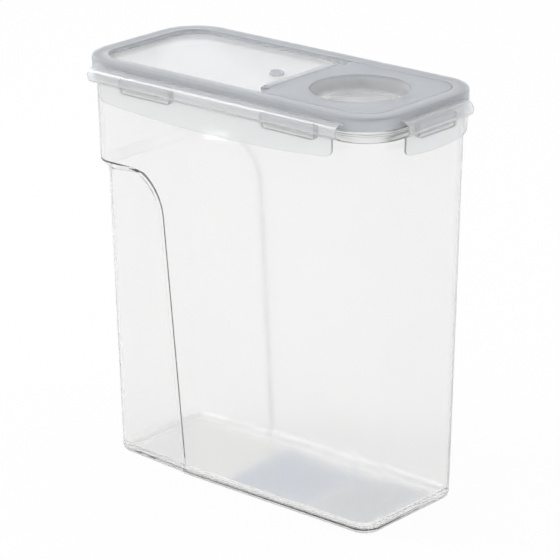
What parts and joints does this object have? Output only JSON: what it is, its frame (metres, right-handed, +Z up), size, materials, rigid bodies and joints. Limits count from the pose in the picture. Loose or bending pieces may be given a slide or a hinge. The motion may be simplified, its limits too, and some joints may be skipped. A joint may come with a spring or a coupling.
{
  "type": "cereal container",
  "caption": "Tall clear container for cereal, with a lid locked by hinged flaps, a flip-up pouring cap and a finger grip at the back.",
  "frame": {"origin": "centre of the base, at the level that it stands on", "axes": "+Z up, +X towards the pouring end, +Y towards the far long side in the picture"},
  "size_m": [0.2336, 0.1138, 0.243],
  "materials": {
    "clear_body": "clear, glossy, slightly cool",
    "lid_plastic": "milky translucent, satin",
    "cap_plastic": "milky translucent, satin",
    "seal_rubber": "soft translucent silicone"
  },
  "bodies": {
    "container_body": {"container": "clear_body"},
    "lid_body": {"lid": "lid_plastic", "lid_gasket": "seal_rubber"},
    "cap_body": {"flip_cap": "cap_plastic", "cap_seal": "seal_rubber"},
    "near_flap_body": {"flap_side_near": "lid_plastic"},
    "far_flap_body": {"flap_side_far": "lid_plastic"},
    "front_flap_body": {"flap_front": "lid_plastic"},
    "rear_flap_body": {"flap_rear": "lid_plastic"}
  },
  "joints": [
    {"name": "lid_lift", "type": "slide", "parent": "container_body", "child": "lid_body", "axis": [0, 0, 1], "range_m": [0, 0.12]},
    {"name": "cap_hinge", "type": "hinge", "parent": "lid_body", "child": "cap_body", "pos_m": [0.0173, 0, 0.2415], "axis": [0, -1, 0], "range_deg": [0, 110]},
    {"name": "near_flap_hinge", "type": "hinge", "parent": "lid_body", "child": "near_flap_body", "pos_m": [0, -0.0505, 0.2394], "axis": [-1, 0, 0], "range_deg": [0, 95]},
    {"name": "far_flap_hinge", "type": "hinge", "parent": "lid_body", "child": "far_flap_body", "pos_m": [0, 0.0505, 0.2394], "axis": [1, 0, 0], "range_deg": [0, 95]},
    {"name": "front_flap_hinge", "type": "hinge", "parent": "lid_body", "child": "front_flap_body", "pos_m": [0.11035, 0, 0.2394], "axis": [0, -1, 0], "range_deg": [0, 95]},
    {"name": "rear_flap_hinge", "type": "hinge", "parent": "lid_body", "child": "rear_flap_body", "pos_m": [-0.11035, 0, 0.2394], "axis": [0, 1, 0], "range_deg": [0, 95]}
  ]
}
